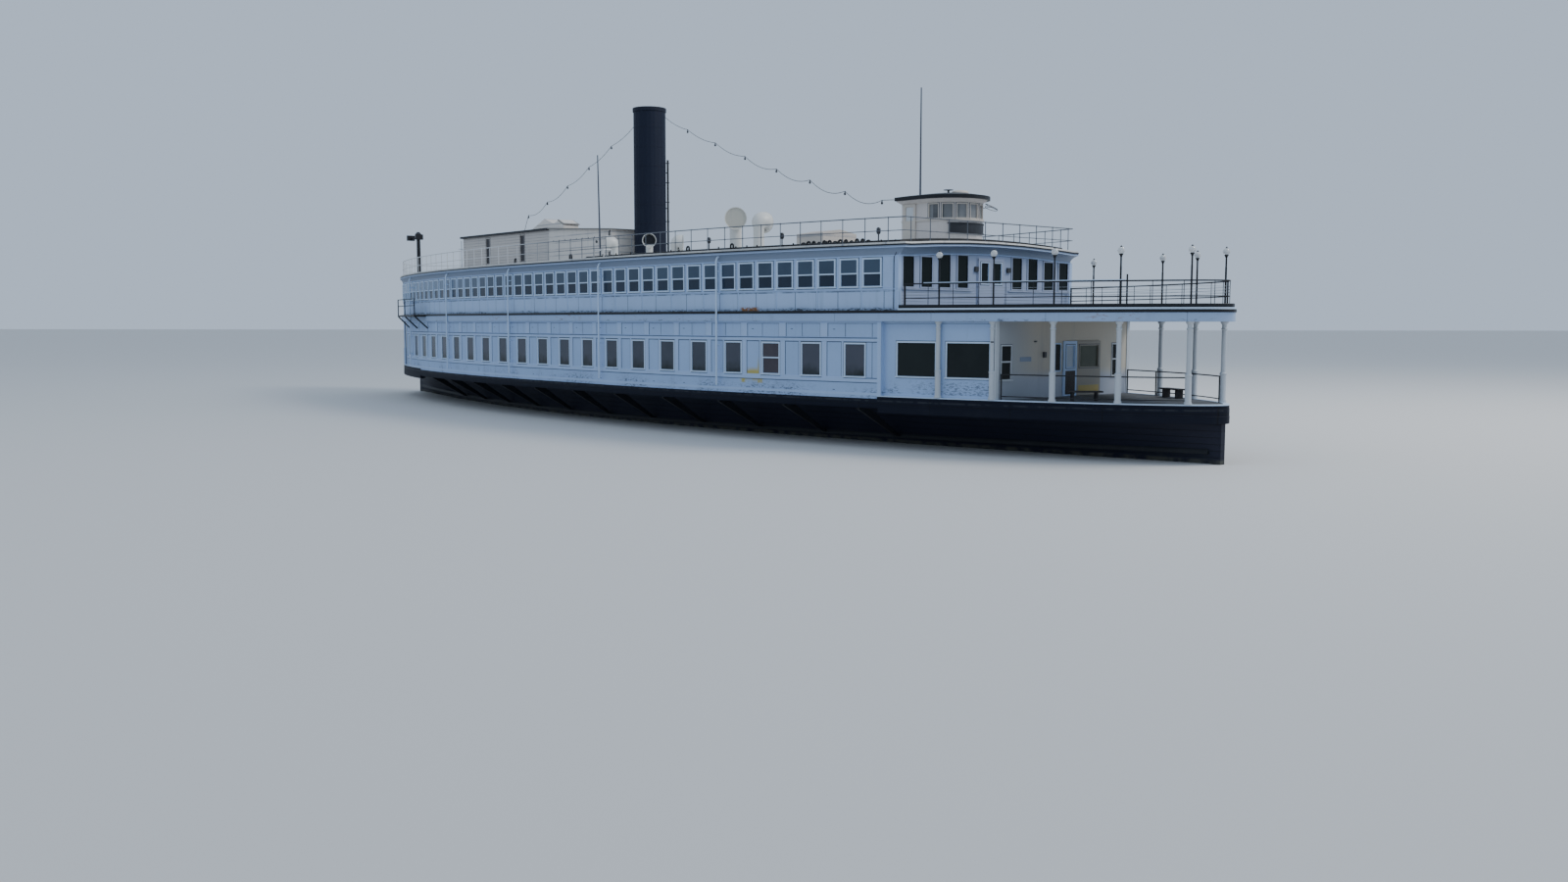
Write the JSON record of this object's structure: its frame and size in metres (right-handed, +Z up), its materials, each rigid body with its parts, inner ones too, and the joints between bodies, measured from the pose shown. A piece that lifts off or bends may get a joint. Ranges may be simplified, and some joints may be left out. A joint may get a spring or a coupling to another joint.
{
  "type": "double-ended ferry boat, half-scale model",
  "caption": "Double-ended steam ferry: an enclosed vehicle deck, a long passenger cabin above, a tall funnel, a wheelhouse on the roof, and a screw and rudder at each end.",
  "frame": {"origin": "on the waterline amidships, on the centreline", "axes": "+X to the front end, that of the wheelhouse and the open deck; -Y to the right-hand side; +Z up"},
  "size_m": [37.175, 8.55, 11.425],
  "materials": {
    "black_hull_paint": "flat black bottom paint, worn",
    "black_paint": "black paint, weathered",
    "white_paint": "white oil paint on boards, dirty and peeling in places",
    "cream_paint": "cream paint on boards",
    "door_paint": "pale grey paint",
    "roof_canvas": "painted canvas laid on boards",
    "white_steel": "white gloss paint on steel pipe and sheet",
    "grey_steel": "grey paint on steel",
    "bronze": "cast bronze, dull",
    "dark_wood": "dark stained boards",
    "window_glass": "old window glass, dark behind",
    "lamp_glass": "white globe glass"
  },
  "bodies": {
    "ship": {"roof_rail": "white_steel", "end_deck_rail": "black_paint", "hull": "black_hull_paint", "upper_deck": "white_paint", "main_deck": "black_paint", "lower_wall_right": "white_paint", "lower_wall_left": "white_paint", "upper_wall_right_front": "white_paint", "upper_wall_right_rear": "white_paint", "upper_wall_left_front": "white_paint", "upper_wall_left_rear": "white_paint", "roof": "roof_canvas", "wheelhouse_wall": "cream_paint", "funnel": "black_paint", "upper_end_wall": "white_paint", "landing": "black_paint", "upper_wall_right_tip": "white_paint", "upper_wall_left_tip": "white_paint", "main_deck_rail_front_right": "grey_steel", "main_deck_rail_front_left": "grey_steel", "main_deck_rail_rear_right": "grey_steel", "main_deck_rail_rear_left": "grey_steel", "cowl_rear": "white_steel", "cowl_middle": "white_steel", "cowl_front": "white_steel", "cowl_tall_rear": "white_steel", "cowl_tall_front": "white_steel", "deckhouse_wall": "cream_paint", "wheelhouse_roof": "black_paint", "lower_end_wall_front": "cream_paint", "lower_end_wall_rear": "cream_paint", "keel": "black_hull_paint", "funnel_pipe": "black_paint", "floodlight_post": "black_paint", "bench_right": "dark_wood", "bench_left": "dark_wood", "pole": "grey_steel", "mast": "grey_steel", "roof_hatch": "cream_paint", "engine_block": "grey_steel", "engine_casing": "cream_paint", "deckhouse_roof": "black_paint", "casing": "cream_paint", "casing_roof": "black_paint", "skylight": "cream_paint"},
    "propeller_front": {"propeller_front": "bronze"},
    "propeller_rear": {"propeller_rear": "bronze"},
    "upper_door_left": {"upper_door_left": "white_paint"},
    "lower_door_front_left": {"lower_door_front_left": "door_paint"},
    "lower_door_rear_left": {"lower_door_rear_left": "door_paint"},
    "wheelhouse_door_left": {"wheelhouse_door_left": "cream_paint"},
    "upper_door_right": {"upper_door_right": "white_paint"},
    "lower_door_front_right": {"lower_door_front_right": "door_paint"},
    "lower_door_rear_right": {"lower_door_rear_right": "door_paint"},
    "wheelhouse_door_right": {"wheelhouse_door_right": "cream_paint"},
    "rudder_front": {"rudder_front": "black_hull_paint"},
    "rudder_rear": {"rudder_rear": "black_hull_paint"}
  },
  "joints": [
    {"name": "rudder_front_turn", "type": "hinge", "parent": "ship", "child": "rudder_front", "pos_m": [16.45, 0, -1], "axis": [0, 0, 1], "range_deg": [-35, 35]},
    {"name": "propeller_front_turn", "type": "hinge", "parent": "ship", "child": "propeller_front", "pos_m": [15.6, 0, -1], "axis": [1, 0, 0], "continuous": true},
    {"name": "lower_door_front_right_turn", "type": "hinge", "parent": "ship", "child": "lower_door_front_right", "pos_m": [14.5073, -0.1, 1.8], "axis": [0, 0, -1], "range_deg": [0, 90]},
    {"name": "lower_door_front_left_turn", "type": "hinge", "parent": "ship", "child": "lower_door_front_left", "pos_m": [14.5073, 1.235, 1.8], "axis": [0, 0, 1], "range_deg": [0, 90]},
    {"name": "rudder_rear_turn", "type": "hinge", "parent": "ship", "child": "rudder_rear", "pos_m": [-16.45, 0, -1], "axis": [0, 0, 1], "range_deg": [-35, 35]},
    {"name": "propeller_rear_turn", "type": "hinge", "parent": "ship", "child": "propeller_rear", "pos_m": [-15.6, 0, -1], "axis": [1, 0, 0], "continuous": true},
    {"name": "lower_door_rear_right_turn", "type": "hinge", "parent": "ship", "child": "lower_door_rear_right", "pos_m": [-14.5073, 0.1, 1.8], "axis": [0, 0, -1], "range_deg": [0, 90]},
    {"name": "lower_door_rear_left_turn", "type": "hinge", "parent": "ship", "child": "lower_door_rear_left", "pos_m": [-14.5073, -1.235, 1.8], "axis": [0, 0, 1], "range_deg": [0, 90]},
    {"name": "upper_door_right_turn", "type": "hinge", "parent": "ship", "child": "upper_door_right", "pos_m": [12.2823, -0.45, 3.7], "axis": [0, 0, -1], "range_deg": [0, 90]},
    {"name": "upper_door_left_turn", "type": "hinge", "parent": "ship", "child": "upper_door_left", "pos_m": [12.2823, 0.45, 3.7], "axis": [0, 0, 1], "range_deg": [0, 90]},
    {"name": "wheelhouse_door_right_turn", "type": "hinge", "parent": "ship", "child": "wheelhouse_door_right", "pos_m": [10.225, -0.807, 5.15], "axis": [0, 0, -1], "range_deg": [0, 90]},
    {"name": "wheelhouse_door_left_turn", "type": "hinge", "parent": "ship", "child": "wheelhouse_door_left", "pos_m": [10.225, 0.807, 5.15], "axis": [0, 0, 1], "range_deg": [0, 90]}
  ]
}
